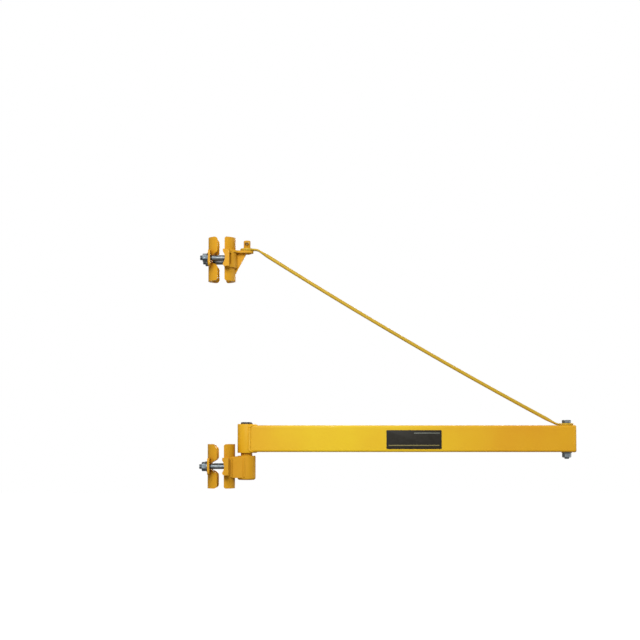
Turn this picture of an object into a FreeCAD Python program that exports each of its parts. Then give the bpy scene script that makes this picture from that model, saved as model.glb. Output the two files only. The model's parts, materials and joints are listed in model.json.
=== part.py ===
import FreeCAD, Part
import Sketcher
import math
import os

# Hoist swing arm: a boom that swings on two clamps fixed to an upright scaffold tube.
# Millimetres, +Z up, +X along the boom. The origin is on the upright's axis,
# at mid-height of the lower clamp. Outlines that cut run CUT_PAST beyond the edge they cut.

DRIVING_SIZES = [
    ("clamp_bore", 24.25, "radius of the saddles' bore, for a 48.3 tube"),
    ("saddle_wall", 7.75, "thickness of the saddles"),
    ("saddle_height", 103.0, "height of the saddles"),
    ("front_edge", 8.0, "distance from the upright's axis to the front saddle's edges"),
    ("rear_edge", 8.0, "distance from the upright's axis to the rear saddle's edges"),
    ("front_corner", 5.0, "radius of the front saddle's corners"),
    ("rear_corner", 8.0, "radius of the rear saddle's corners"),
    ("lower_rear_top", 16.0, "larger radius of the lower rear saddle's top corners"),
    ("notch_radius", 9.5, "radius of the bottom of the rear saddle's notch"),
    ("notch_centre", 17.0, "distance of that round bottom's centre behind the upright's axis"),
    ("notch_flare", 30.0, "degrees by which each side of the notch opens"),
    ("notch_shoulder", 10.0, "radius of the notch's shoulders"),
    ("ear_wall", 5.0, "thickness of the rear saddle's ears"),
    ("ear_reach", 50.0, "half width across the ears and lugs"),
    ("ear_half_height", 19.0, "half height of the ears"),
    ("ear_corner", 8.0, "corner radius of the ears"),
    ("stud_offset", 38.5, "distance of the studs from the upright's axis"),
    ("stud_radius", 6.0, "radius of the studs and of the end bolt"),
    ("stud_end", 48.0, "reach of the studs behind the upright's axis"),
    ("stud_seat", 17.0, "depth of the studs in the lugs, from the upright's axis"),
    ("stud_chamfer", 1.2, "chamfer on the ends of studs and bolt"),
    ("stud_hole", 6.75, "radius of the holes in the ears"),
    ("thread_gap", 0.1, "gap between a thread and its hole"),
    ("lug_front", 20.0, "front face of the lugs"),
    ("lug_back", 5.5, "back face of the lugs"),
    ("lug_half_height", 20.0, "half height of the lugs"),
    ("lug_dip_half", 14.0, "half height of the hollow in a lug's back face"),
    ("lug_dip_radius", 24.0, "radius of that hollow"),
    ("lug_root", 24.0, "inner side of the lugs before they are fitted to the saddle"),
    ("lug_corner", 5.0, "radius of a lug's lower back corner"),
    ("band_wall", 4.0, "thickness of the band from an upper lug to the gusset"),
    ("band_root", 1.0, "how far that band starts inside its lug"),
    ("slit_width", 3.2, "width of the slit between an upper lug and its band"),
    ("slit_half_height", 13.0, "half height of that slit"),
    ("nut_flats", 19.0, "width across flats of nuts and bolt head"),
    ("nut_height", 10.5, "height of the nuts"),
    ("nut_chamfer", 1.5, "height of the chamfers on a nut's corners"),
    ("washer_radius", 12.0, "radius of the washers"),
    ("washer_wall", 2.4, "thickness of the washers"),
    ("upper_clamp_height", 485.0, "mid-height of the upper clamp"),
    ("pivot_x", 59.0, "distance from the upright's axis to the swing axis"),
    ("sleeve_radius", 21.2, "outer radius of the pivot sleeve and socket"),
    ("sleeve_bottom", 31.0, "lower end of the pivot sleeve"),
    ("sleeve_top", 98.5, "upper end of the pivot sleeve"),
    ("pin_radius", 13.45, "outer radius of the pivot pin"),
    ("pin_wall", 5.0, "wall of the pivot pin, which is a tube"),
    ("pin_gap", 0.3, "running gap round and under the pivot pin"),
    ("socket_top", 24.2, "upper end of the pivot socket"),
    ("socket_bottom", -32.0, "lower end of the pivot socket"),
    ("socket_floor", 5.0, "thickness of the socket's floor"),
    ("socket_round", 5.0, "rounding of the socket's lower edge"),
    ("cheek_outer", 20.6, "outer side of the socket's cheek plates"),
    ("cheek_wall", 6.0, "thickness of the cheek plates"),
    ("cheek_top", 22.7, "upper edge of the cheek plates"),
    ("cheek_bottom", -27.0, "lower edge of the cheek plates"),
    ("cap_radius", 13.6, "radius of the pin cap"),
    ("cap_height", 4.6, "height of the pin cap"),
    ("cap_round", 1.6, "chamfer on the pin cap's edge"),
    ("cap_plug", 12.0, "length of the pin cap's plug"),
    ("boom_height", 62.5, "height of the boom tube"),
    ("boom_width", 40.0, "width of the boom tube"),
    ("boom_wall", 3.0, "wall of the boom tube"),
    ("boom_corner", 5.0, "outer corner radius of the boom tube"),
    ("boom_bottom", 33.0, "underside of the boom tube"),
    ("boom_tip", 828.5, "tip of the boom"),
    ("end_plate_wall", 4.5, "thickness of the boom's end plate"),
    ("end_bolt_x", 809.0, "place of the end bolt along the boom"),
    ("end_bolt_reach", 16.0, "reach of the end bolt under the boom"),
    ("bolt_head", 7.5, "height of the end bolt's head"),
    ("flange_top", 506.0, "seat of the tie rod's upper eye"),
    ("flange_wall", 5.5, "thickness of the tie flange"),
    ("flange_root", 20.0, "root of the tie flange, at the lugs"),
    ("flange_root_half", 30.0, "half width of the flange at its root"),
    ("flange_neck", 38.0, "place where the flange's sides turn parallel"),
    ("flange_nose", 15.0, "radius of the flange's nose"),
    ("gusset_wall", 6.0, "thickness of the tie gusset"),
    ("gusset_reach", 56.0, "upper corner of the gusset"),
    ("gusset_lip", 4.0, "height of the gusset's upright end"),
    ("gusset_foot", 452.0, "lower corner of the gusset"),
    ("tie_pin_radius", 8.0, "radius of the tie pin"),
    ("tie_pin_top", 530.4, "top of the tie pin"),
    ("tie_pin_chamfer", 1.6, "chamfer on the tie pin's top"),
    ("split_pin_height", 522.5, "height of the split pin's hole"),
    ("split_pin_radius", 1.8, "radius of the split pin's shank"),
    ("split_loop_radius", 4.2, "radius of the split pin's loop"),
    ("split_loop_wire", 1.5, "radius of the wire in that loop"),
    ("split_leg", 13.0, "reach of the split pin past the tie pin's axis"),
    ("rod_radius", 4.25, "radius of the tie rod"),
    ("rod_bend", 20.0, "radius of the tie rod's bends"),
    ("rod_upper_bend", 83.6, "corner of the tie rod's upper bend"),
    ("rod_lower_bend", 785.8, "corner of the tie rod's lower bend"),
    ("eye_wall", 5.0, "thickness of the tie rod's flattened eyes"),
    ("eye_radius", 16.0, "outer radius of the eyes"),
    ("eye_lift", 0.5, "gap between the upper eye and the flange"),
    ("eye_gap", 0.5, "gap between an eye and what passes through it"),
    ("flat_half_width", 7.5, "half width of the tie rod where it is flattened at a bend"),
    ("flat_relief", 0.1, "how much less than the eye the flattened bar measures all round"),
    ("round_start", 30.0, "distance from a bend's corner to the start of the round bar"),
    ("rod_bow", 2.0, "degrees by which each end of the bowed bar turns from its chord"),
]

doc = FreeCAD.newDocument("hoist_swing_arm")
sheet = doc.addObject("Spreadsheet::Sheet", "Sizes")
parts = []


class Size:
    # A length that carries its number and the sheet expression that gives it.
    def __init__(self, value, text):
        self.value = float(value)
        self.text = text

    def __add__(self, other):
        other = as_size(other)
        return Size(self.value + other.value, f"({self.text} + {other.text})")

    def __sub__(self, other):
        other = as_size(other)
        return Size(self.value - other.value, f"({self.text} - {other.text})")

    def __mul__(self, other):
        other = as_size(other)
        return Size(self.value * other.value, f"({self.text} * {other.text})")

    def __truediv__(self, other):
        other = as_size(other)
        return Size(self.value / other.value, f"({self.text} / {other.text})")

    def __neg__(self):
        return Size(-self.value, f"(0 - {self.text})")


def as_size(length):
    return length if isinstance(length, Size) else Size(length, repr(float(length)))


def root(length):
    return Size(math.sqrt(length.value), f"sqrt({length.text})")


def slant(drop, run):
    # Angle below the horizontal, in degrees.
    return Size(math.degrees(math.atan2(drop.value, run.value)), f"atan2({drop.text}; {run.text})")


def as_degrees(number):
    return Size(number.value, f"({number.text} * 1 deg)")


def sine(angle):
    return Size(math.sin(math.radians(angle.value)), f"sin({angle.text})")


def cosine(angle):
    return Size(math.cos(math.radians(angle.value)), f"cos({angle.text})")


def across(radius, offset):
    # Half chord of a circle at a distance from its centre.
    return root(radius * radius - offset * offset)


for row, (alias, value, note) in enumerate(DRIVING_SIZES, start=1):
    sheet.set(f"A{row}", note)
    sheet.set(f"B{row}", str(value))
    sheet.setAlias(f"B{row}", alias)
doc.recompute()
D = {alias: Size(value, f"Sizes.{alias}") for alias, value, note in DRIVING_SIZES}
ZERO = as_size(0)
CUT_PAST = as_size(1)

saddle_outer = D["clamp_bore"] + D["saddle_wall"]
boom_top = D["boom_bottom"] + D["boom_height"]
boom_middle = D["boom_bottom"] + D["boom_height"] / 2
ear_back = D["clamp_bore"] + D["ear_wall"]
flange_bottom = D["flange_top"] - D["flange_wall"]


def bind(thing, path, length):
    thing.setExpression(path, as_size(length).text)


def new_body(label, x=ZERO, y=ZERO, z=ZERO, turn=None):
    body = doc.addObject("PartDesign::Body", label)
    body.Label = label
    if turn:
        body.Placement = FreeCAD.Placement(FreeCAD.Vector(), turn)
    for axis, length in (("x", x), ("y", y), ("z", z)):
        bind(body, f"Placement.Base.{axis}", length)
    parts.append(body)
    return body


def new_sketch(body, plane, lift=None):
    sketch = body.newObject("Sketcher::SketchObject", f"{body.Label}_sketch")
    support = [item for item in body.Origin.OriginFeatures if item.Role == plane]
    sketch.AttachmentSupport = [(support[0], "")]
    sketch.MapMode = "FlatFace"
    if lift is not None:
        bind(sketch, "AttachmentOffset.Base.z", lift)
    return sketch


def slanted_sketch(body, x, z, angle):
    # A sketch square to a bar that slants down along +X, with its centre on the bar's axis.
    sketch = new_sketch(body, "YZ_Plane", x)
    turn = FreeCAD.Rotation(FreeCAD.Vector(1, 0, 0), angle.value)
    sketch.AttachmentOffset = FreeCAD.Placement(FreeCAD.Vector(0, z.value, x.value), turn)
    bind(sketch, "AttachmentOffset.Base.y", z)
    bind(sketch, "AttachmentOffset.Rotation.Angle", angle)
    return sketch


def fix_point(sketch, shape, end, x, y):
    # Holds one end of a line or arc, or a circle's centre, at its place in the sketch.
    for kind, axis, length in (("DistanceX", -2, x), ("DistanceY", -1, y)):
        if length.value == 0:
            sketch.addConstraint(Sketcher.Constraint("PointOnObject", shape, end, axis))
            continue
        index = sketch.addConstraint(Sketcher.Constraint(kind, shape, end, length.value))
        bind(sketch, f"Constraints[{index}]", length)


def fix_radius(sketch, shape, radius):
    index = sketch.addConstraint(Sketcher.Constraint("Radius", shape, radius.value))
    bind(sketch, f"Constraints[{index}]", radius)


def draw_circle(sketch, x, y, radius):
    x, y = as_size(x), as_size(y)
    centre = FreeCAD.Vector(x.value, y.value, 0)
    shape = sketch.addGeometry(Part.Circle(centre, FreeCAD.Vector(0, 0, 1), radius.value))
    fix_point(sketch, shape, 3, x, y)
    fix_radius(sketch, shape, radius)


def draw_ellipse(sketch, x, y, half_x, half_y):
    # A flattened section, wider than it is high.
    centre = FreeCAD.Vector(x.value, y.value, 0)
    side = centre + FreeCAD.Vector(half_x.value, 0, 0)
    top = centre + FreeCAD.Vector(0, half_y.value, 0)
    shape = sketch.addGeometry(Part.Ellipse(side, top, centre))
    fix_point(sketch, shape, 3, x, y)
    sketch.exposeInternalGeometry(shape)
    wide, high = shape + 1, shape + 2
    sketch.addConstraint(Sketcher.Constraint("Horizontal", wide))
    for line, half in ((wide, half_x), (high, half_y)):
        index = sketch.addConstraint(Sketcher.Constraint("Distance", line, half.value * 2))
        bind(sketch, f"Constraints[{index}]", half * 2)


def arc_between(start, end, radius, turn):
    # The shorter arc of a given radius; turn is 1 for anticlockwise, -1 for clockwise.
    chord = end - start
    half = chord.Length / 2
    side = FreeCAD.Vector(-chord.y, chord.x, 0).normalize()
    depth = math.sqrt(max(radius * radius - half * half, 0))
    centre = (start + end) * 0.5 + side * (turn * depth)
    first, last = (start, end) if turn > 0 else (end, start)
    angles = [math.atan2(point.y - centre.y, point.x - centre.x) for point in (first, last)]
    circle = Part.Circle(centre, FreeCAD.Vector(0, 0, 1), radius)
    return Part.ArcOfCircle(circle, angles[0], angles[1])


def draw_chain(sketch, steps, closed=True):
    # Each step is (x, y), reached by a line, or (x, y, radius, turn), reached by an arc.
    # In a closed chain the first step is reached from the last.
    places = [FreeCAD.Vector(as_size(step[0]).value, as_size(step[1]).value, 0) for step in steps]
    drawn = []
    for number, step in enumerate(steps):
        if number == 0 and not closed:
            continue
        start, end = places[number - 1], places[number]
        if len(step) == 2:
            shape = sketch.addGeometry(Part.LineSegment(start, end))
            drawn.append((shape, 1, 2))
        else:
            radius, turn = as_size(step[2]), step[3]
            shape = sketch.addGeometry(arc_between(start, end, radius.value, turn))
            fix_radius(sketch, shape, radius)
            drawn.append((shape, 1, 2) if turn > 0 else (shape, 2, 1))
        fix_point(sketch, shape, drawn[-1][2], as_size(step[0]), as_size(step[1]))
    if not closed:
        fix_point(sketch, drawn[0][0], drawn[0][1], as_size(steps[0][0]), as_size(steps[0][1]))
    pairs = zip(drawn, drawn[1:] + drawn[:1]) if closed else zip(drawn, drawn[1:])
    for (shape, _, end), (following, start, _) in pairs:
        sketch.addConstraint(Sketcher.Constraint("Coincident", shape, end, following, start))


def rounded_box(half_x, half_y, corner, centre_y=ZERO):
    # Steps of a rectangle with round corners, anticlockwise from its lower right side.
    x, y, c = as_size(half_x), as_size(half_y), as_size(corner)
    low, high = centre_y - y, centre_y + y
    return [
        (x - c, low), (x, low + c, c, 1),
        (x, high - c), (x - c, high, c, 1),
        (c - x, high), (-x, high - c, c, 1),
        (-x, low + c), (c - x, low, c, 1),
    ]


def pad(body, sketch, length, back=False):
    feature = body.newObject("PartDesign::Pad", f"{body.Label}_pad")
    feature.Profile = sketch
    feature.Reversed = back
    bind(feature, "Length", length)
    doc.recompute()


def pocket(body, sketch, length, back=False):
    # A pocket cuts against its sketch's normal, or along it when turned back.
    before = body.Shape.Volume
    feature = body.newObject("PartDesign::Pocket", f"{body.Label}_pocket")
    feature.Profile = sketch
    feature.Reversed = back
    bind(feature, "Length", length)
    doc.recompute()
    if math.isclose(body.Shape.Volume, before, rel_tol=1e-6):
        raise ValueError(f"{body.Label}: a pocket cuts nothing")


def loft(body, first, last):
    feature = body.newObject("PartDesign::AdditiveLoft", f"{body.Label}_loft")
    feature.Profile = first
    feature.Sections = [last]
    doc.recompute()


def sweep(body, section, path):
    feature = body.newObject("PartDesign::AdditivePipe", f"{body.Label}_bend")
    feature.Profile = section
    feature.Spine = path
    doc.recompute()


def revolve(body, sketch, axis, groove=False):
    kind = "Groove" if groove else "Revolution"
    feature = body.newObject(f"PartDesign::{kind}", f"{body.Label}_{kind.lower()}")
    feature.Profile = sketch
    feature.ReferenceAxis = (sketch, [axis])
    feature.Angle = 360
    doc.recompute()


# Clamps

def draw_corners(side, edge, top_corner, bottom_corner, facing):
    # What rounding takes off the two corners of a half shell, seen from the side.
    # Facing is 1 where the shell's edges look along +X, -1 where they look back.
    half, clear = D["saddle_height"] / 2, edge + CUT_PAST * facing
    draw_chain(side, [
        (edge - top_corner * facing, half, top_corner, facing), (clear, half),
        (clear, half - top_corner), (edge, half - top_corner),
    ])
    draw_chain(side, [
        (edge, bottom_corner - half, bottom_corner, facing), (clear, bottom_corner - half),
        (clear, -half), (edge - bottom_corner * facing, -half),
    ])


def front_saddle(label, height):
    body = new_body(label, z=height)
    edge = D["front_edge"]
    inner, outer = across(D["clamp_bore"], edge), across(saddle_outer, edge)
    plan = new_sketch(body, "XY_Plane", -(D["saddle_height"] / 2))
    draw_chain(plan, [
        (edge, -outer), (edge, outer, saddle_outer, 1),
        (edge, inner), (edge, -inner, D["clamp_bore"], -1),
    ])
    pad(body, plan, D["saddle_height"])
    side = new_sketch(body, "XZ_Plane", saddle_outer)
    draw_corners(side, edge, D["front_corner"], D["front_corner"], -1)
    pocket(body, side, saddle_outer * 2)


def draw_notch(side, edge):
    # A notch with a round bottom, straight sides that open outwards and rounded shoulders.
    corner, notch, bottom = D["notch_shoulder"], D["notch_radius"], -D["notch_centre"]
    along, rise = cosine(as_degrees(D["notch_flare"])), sine(as_degrees(D["notch_flare"]))
    shoulder = (notch + corner + rise * (edge - corner - bottom)) / along
    outer_x, outer_z = edge - corner + corner * rise, shoulder - corner * along
    inner_x, inner_z = bottom - notch * rise, notch * along
    clear = edge + CUT_PAST
    draw_chain(side, [
        (edge, shoulder), (outer_x, outer_z, corner, -1), (inner_x, inner_z),
        (inner_x, -inner_z, notch, 1), (outer_x, -outer_z), (edge, -shoulder, corner, -1),
        (clear, -shoulder), (clear, shoulder),
    ])


def rear_saddle(label, height, top_corner):
    body = new_body(label, z=height)
    edge = -D["rear_edge"]
    inner, outer = across(D["clamp_bore"], edge), across(saddle_outer, edge)
    plan = new_sketch(body, "XY_Plane", -(D["saddle_height"] / 2))
    draw_chain(plan, [
        (edge, outer), (edge, -outer, saddle_outer, 1),
        (edge, -inner), (edge, inner, D["clamp_bore"], -1),
    ])
    pad(body, plan, D["saddle_height"])
    side = new_sketch(body, "XZ_Plane", saddle_outer)
    draw_corners(side, edge, top_corner, D["rear_corner"], 1)
    draw_notch(side, edge)
    pocket(body, side, saddle_outer * 2)
    ears = new_sketch(body, "YZ_Plane", -ear_back)
    draw_chain(ears, rounded_box(D["ear_reach"], D["ear_half_height"], D["ear_corner"]))
    for side_sign in (-1, 1):
        draw_circle(ears, D["stud_offset"] * side_sign, ZERO, D["stud_hole"])
    pad(body, ears, D["ear_wall"])


def stud_lug(label, height, side_sign):
    body = new_body(label, z=height)
    front, back, corner = D["lug_front"], D["lug_back"], D["lug_corner"]
    half, dip = D["lug_half_height"], D["lug_dip_half"]
    side = new_sketch(body, "XZ_Plane", D["ear_reach"] * -side_sign)
    draw_chain(side, [
        (front, -half), (front, half), (back, half), (back, dip),
        (back, -dip, D["lug_dip_radius"], -1), (back, corner - half), (back + corner, -half, corner, 1),
    ])
    pad(body, side, D["ear_reach"] - D["lug_root"], back=side_sign < 0)
    seat = new_sketch(body, "XY_Plane", half)
    draw_circle(seat, ZERO, ZERO, saddle_outer)
    pocket(body, seat, half * 2)
    hole = new_sketch(body, "YZ_Plane")
    draw_circle(hole, D["stud_offset"] * side_sign, ZERO, D["stud_radius"] + D["thread_gap"])
    pocket(body, hole, D["stud_seat"], back=True)
    return body


def lug_band(lug, side_sign):
    # A band round the saddle from a lug to the gusset, under the flange, with a slit beside the lug.
    front, half, bottom = D["lug_front"], D["slit_half_height"], D["lug_half_height"]
    top = flange_bottom - D["upper_clamp_height"]
    outer, start = saddle_outer + D["band_wall"], front - D["band_root"]
    end = D["gusset_wall"] / 2
    plan = new_sketch(lug, "XY_Plane", -bottom)
    draw_chain(plan, [
        (start, across(saddle_outer, start) * side_sign, saddle_outer, side_sign),
        (start, across(outer, start) * side_sign),
        (across(outer, end), end * side_sign, outer, -side_sign),
        (across(saddle_outer, end), end * side_sign),
    ])
    pad(lug, plan, bottom + top)
    slit = new_sketch(lug, "XZ_Plane", outer * -side_sign)
    edge = front + D["slit_width"]
    draw_chain(slit, [(edge, -half), (edge, half), (front, half), (front, -half)])
    pocket(lug, slit, outer, back=side_sign > 0)


def clamp_stud(label, height, side_sign):
    body = new_body(label, y=D["stud_offset"] * side_sign, z=height)
    radius, chamfer = D["stud_radius"], D["stud_chamfer"]
    tip, seat = -D["stud_end"], D["stud_seat"]
    profile = new_sketch(body, "XZ_Plane")
    draw_chain(profile, [
        (tip, ZERO), (seat, ZERO), (seat, radius - chamfer), (seat - chamfer, radius),
        (tip + chamfer, radius), (tip, radius - chamfer),
    ])
    revolve(body, profile, "H_Axis")


def washer(label, x, y, z, turn=None):
    # Lies on its seat and grows along its own +Z.
    body = new_body(label, x, y, z, turn)
    plan = new_sketch(body, "XY_Plane")
    draw_circle(plan, ZERO, ZERO, D["washer_radius"])
    draw_circle(plan, ZERO, ZERO, D["stud_hole"])
    pad(body, plan, D["washer_wall"])


def hexagon(sketch, flats):
    # Six straight sides with two corners on the sketch's X axis.
    half, corner = flats / 2, flats / math.sqrt(3)
    draw_chain(sketch, [
        (corner, ZERO), (corner / 2, half), (-(corner / 2), half),
        (-corner, ZERO), (-(corner / 2), -half), (corner / 2, -half),
    ])


def trim_corners(body, height, chamfer, at_top):
    # Cuts the hexagon's corners back to a cone at one end.
    half, corner = D["nut_flats"] / 2, D["nut_flats"] / math.sqrt(3) + CUT_PAST
    end = height if at_top else ZERO
    inward = end - chamfer if at_top else end + chamfer
    section = new_sketch(body, "XZ_Plane")
    draw_chain(section, [(half, end), (corner, end), (corner, inward)])
    revolve(body, section, "V_Axis", groove=True)


def nut(label, x, y, z, turn):
    body = new_body(label, x, y, z, turn)
    plan = new_sketch(body, "XY_Plane")
    hexagon(plan, D["nut_flats"])
    draw_circle(plan, ZERO, ZERO, D["stud_radius"] + D["thread_gap"])
    pad(body, plan, D["nut_height"])
    for at_top in (False, True):
        trim_corners(body, D["nut_height"], D["nut_chamfer"], at_top)


def clamp(name, height):
    front_saddle(f"{name}_front_saddle", height)
    rear_saddle(f"{name}_rear_saddle", height, D["lower_rear_top" if name == "lower" else "rear_corner"])
    backwards = FreeCAD.Rotation(FreeCAD.Vector(0, 1, 0), -90)
    for side, side_sign in (("near", -1), ("far", 1)):
        y = D["stud_offset"] * side_sign
        lug = stud_lug(f"{name}_lug_{side}", height, side_sign)
        if name == "upper":
            lug_band(lug, side_sign)
        clamp_stud(f"{name}_stud_{side}", height, side_sign)
        washer(f"{name}_washer_{side}", -ear_back, y, height, backwards)
        nut(f"{name}_nut_{side}", -(ear_back + D["washer_wall"]), y, height, backwards)


# Lower pivot

def pivot_socket():
    body = new_body("pivot_socket", x=D["pivot_x"])
    bore, outer = D["pin_radius"] + D["pin_gap"], D["sleeve_radius"]
    low, high = D["socket_bottom"], D["socket_top"]
    floor, corner = low + D["socket_floor"], D["socket_round"]
    profile = new_sketch(body, "XZ_Plane")
    draw_chain(profile, [
        (ZERO, low), (outer - corner, low), (outer, low + corner, corner, 1),
        (outer, high), (bore, high), (bore, floor), (ZERO, floor),
    ])
    revolve(body, profile, "V_Axis")


def socket_cheek(label, side_sign):
    # A plate between the saddle and the socket, hollowed at both ends to fit them.
    body = new_body(label, y=(D["cheek_outer"] - D["cheek_wall"] / 2) * side_sign)
    far_edge = -D["cheek_wall"] / 2
    side = new_sketch(body, "XZ_Plane", far_edge)
    low, high = D["cheek_bottom"], D["cheek_top"]
    draw_chain(side, [
        (ZERO, low), (D["pivot_x"], low), (D["pivot_x"], high), (ZERO, high),
    ])
    pad(body, side, D["cheek_wall"])
    offset = -(D["cheek_outer"] - D["cheek_wall"] / 2) * side_sign
    ends = new_sketch(body, "XY_Plane", high)
    draw_circle(ends, ZERO, offset, saddle_outer)
    draw_circle(ends, D["pivot_x"], offset, D["sleeve_radius"])
    pocket(body, ends, high - low)


# Upper tie seat

def tie_flange():
    body = new_body("tie_flange", z=flange_bottom)
    plan = new_sketch(body, "XY_Plane")
    x, wide, nose = D["flange_root"], D["flange_root_half"], D["flange_nose"]
    fit, pivot = across(saddle_outer, x), D["pivot_x"]
    draw_chain(plan, [
        (x, -wide), (D["flange_neck"], -nose), (pivot, -nose), (pivot + nose, ZERO, nose, 1),
        (pivot, nose, nose, 1), (D["flange_neck"], nose), (x, wide),
        (x, fit), (x, -fit, saddle_outer, -1),
    ])
    draw_circle(plan, pivot, ZERO, D["tie_pin_radius"])
    pad(body, plan, D["flange_wall"])


def tie_gusset():
    body = new_body("tie_gusset")
    side = new_sketch(body, "XZ_Plane", -D["gusset_wall"] / 2)
    reach, lip = D["gusset_reach"], D["gusset_lip"]
    draw_chain(side, [
        (D["clamp_bore"], D["gusset_foot"]), (saddle_outer, D["gusset_foot"]),
        (reach, flange_bottom - lip), (reach, flange_bottom), (D["clamp_bore"], flange_bottom),
    ])
    pad(body, side, D["gusset_wall"])
    root_cut = new_sketch(body, "XY_Plane", flange_bottom)
    draw_circle(root_cut, ZERO, ZERO, saddle_outer)
    pocket(body, root_cut, flange_bottom - D["gusset_foot"])


def tie_pin():
    body = new_body("tie_pin", x=D["pivot_x"])
    radius, chamfer, top = D["tie_pin_radius"], D["tie_pin_chamfer"], D["tie_pin_top"]
    profile = new_sketch(body, "XZ_Plane")
    draw_chain(profile, [
        (ZERO, flange_bottom), (radius, flange_bottom), (radius, top - chamfer),
        (radius - chamfer, top), (ZERO, top),
    ])
    revolve(body, profile, "V_Axis")
    hole = new_sketch(body, "XZ_Plane", radius)
    draw_circle(hole, ZERO, D["split_pin_height"], D["split_pin_radius"] + D["thread_gap"])
    pocket(body, hole, radius * 2)


def split_pin():
    # A straight shank with a loop in front of the tie pin.
    shank = doc.addObject("Part::Cylinder", "split_pin_shank")
    loop = doc.addObject("Part::Torus", "split_pin_loop")
    along_y = FreeCAD.Rotation(FreeCAD.Vector(1, 0, 0), -90)
    start = D["tie_pin_radius"] + D["split_loop_wire"]
    shank.Placement = FreeCAD.Placement(FreeCAD.Vector(), along_y)
    bind(shank, "Radius", D["split_pin_radius"])
    bind(shank, "Height", start + D["split_leg"])
    bind(loop, "Radius1", D["split_loop_radius"])
    bind(loop, "Radius2", D["split_loop_wire"])
    for piece, y in ((shank, -start), (loop, -(start + D["split_loop_radius"]))):
        bind(piece, "Placement.Base.x", D["pivot_x"])
        bind(piece, "Placement.Base.y", y)
        bind(piece, "Placement.Base.z", D["split_pin_height"])
    whole = doc.addObject("Part::Fuse", "split_pin")
    whole.Label = "split_pin"
    whole.Base, whole.Tool = shank, loop
    parts.append(whole)


# Boom

def pivot_sleeve():
    body = new_body("pivot_sleeve", x=D["pivot_x"], z=D["sleeve_bottom"])
    plan = new_sketch(body, "XY_Plane")
    draw_circle(plan, ZERO, ZERO, D["sleeve_radius"])
    draw_circle(plan, ZERO, ZERO, D["pin_radius"])
    pad(body, plan, D["sleeve_top"] - D["sleeve_bottom"])


def pivot_pin():
    low = D["socket_bottom"] + D["socket_floor"] + D["pin_gap"]
    body = new_body("pivot_pin", x=D["pivot_x"], z=low)
    plan = new_sketch(body, "XY_Plane")
    draw_circle(plan, ZERO, ZERO, D["pin_radius"])
    draw_circle(plan, ZERO, ZERO, D["pin_radius"] - D["pin_wall"])
    pad(body, plan, D["sleeve_top"] - low)


def pin_cap():
    body = new_body("pin_cap", x=D["pivot_x"], z=D["sleeve_top"])
    plug = D["pin_radius"] - D["pin_wall"] - D["thread_gap"]
    rim, top, bevel = D["cap_radius"], D["cap_height"], D["cap_round"]
    profile = new_sketch(body, "XZ_Plane")
    draw_chain(profile, [
        (ZERO, -D["cap_plug"]), (plug, -D["cap_plug"]), (plug, ZERO), (rim, ZERO),
        (rim, top - bevel), (rim - bevel, top), (ZERO, top),
    ])
    revolve(body, profile, "V_Axis")


def boom_tube():
    body = new_body("boom_tube")
    half_y, half_z = D["boom_width"] / 2, D["boom_height"] / 2
    wall, corner = D["boom_wall"], D["boom_corner"]
    section = new_sketch(body, "YZ_Plane", D["pivot_x"])
    draw_chain(section, rounded_box(half_y, half_z, corner, boom_middle))
    draw_chain(section, rounded_box(half_y - wall, half_z - wall, corner - wall, boom_middle))
    pad(body, section, D["boom_tip"] - D["end_plate_wall"] - D["pivot_x"])
    cope = new_sketch(body, "XY_Plane", boom_top)
    draw_circle(cope, D["pivot_x"], ZERO, D["sleeve_radius"])
    pocket(body, cope, D["boom_height"])
    bolt_way = new_sketch(body, "XY_Plane", boom_top)
    draw_circle(bolt_way, D["end_bolt_x"], ZERO, D["stud_hole"])
    pocket(body, bolt_way, D["boom_height"])


def boom_end_plate():
    body = new_body("boom_end_plate")
    section = new_sketch(body, "YZ_Plane", D["boom_tip"] - D["end_plate_wall"])
    half_y, half_z = D["boom_width"] / 2, D["boom_height"] / 2
    draw_chain(section, rounded_box(half_y, half_z, D["boom_corner"], boom_middle))
    pad(body, section, D["end_plate_wall"])


def forged_end(body, eye_x, bottom, hole, bend_x, towards, angle):
    # Flattens the round bar, bends it level and spreads it into an eye.
    along, down = cosine(angle), sine(angle)
    middle = bottom + D["eye_wall"] / 2
    thick = D["eye_wall"] / 2 - D["flat_relief"]
    tangent = D["rod_bend"] * (as_size(1) - along) / down
    bend_end = (bend_x + tangent * along * towards, middle - tangent * down * towards)
    flare = D["round_start"] * towards
    level_x = bend_x - tangent * towards

    flat = new_sketch(body, "YZ_Plane", level_x)
    draw_ellipse(flat, ZERO, middle, D["flat_half_width"], thick)
    wide = new_sketch(body, "YZ_Plane", eye_x)
    draw_ellipse(wide, ZERO, middle, D["eye_radius"] - D["flat_relief"], thick)
    slant_flat = slanted_sketch(body, bend_end[0], bend_end[1], angle)
    draw_ellipse(slant_flat, ZERO, ZERO, D["flat_half_width"], thick)
    slant_round = slanted_sketch(body, bend_x + flare * along, middle - flare * down, angle)
    draw_circle(slant_round, ZERO, ZERO, D["rod_radius"])
    path = new_sketch(body, "XZ_Plane")
    draw_chain(path, [(level_x, middle), (*bend_end, D["rod_bend"], -1)], closed=False)
    plan = new_sketch(body, "XY_Plane", bottom)
    draw_circle(plan, eye_x, ZERO, D["eye_radius"])
    bore = new_sketch(body, "XY_Plane", bottom)
    draw_circle(bore, eye_x, ZERO, hole)

    loft(body, slant_round, slant_flat)
    sweep(body, flat, path)
    loft(body, flat, wide)
    pad(body, plan, D["eye_wall"])
    pocket(body, bore, D["eye_wall"], back=True)


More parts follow.
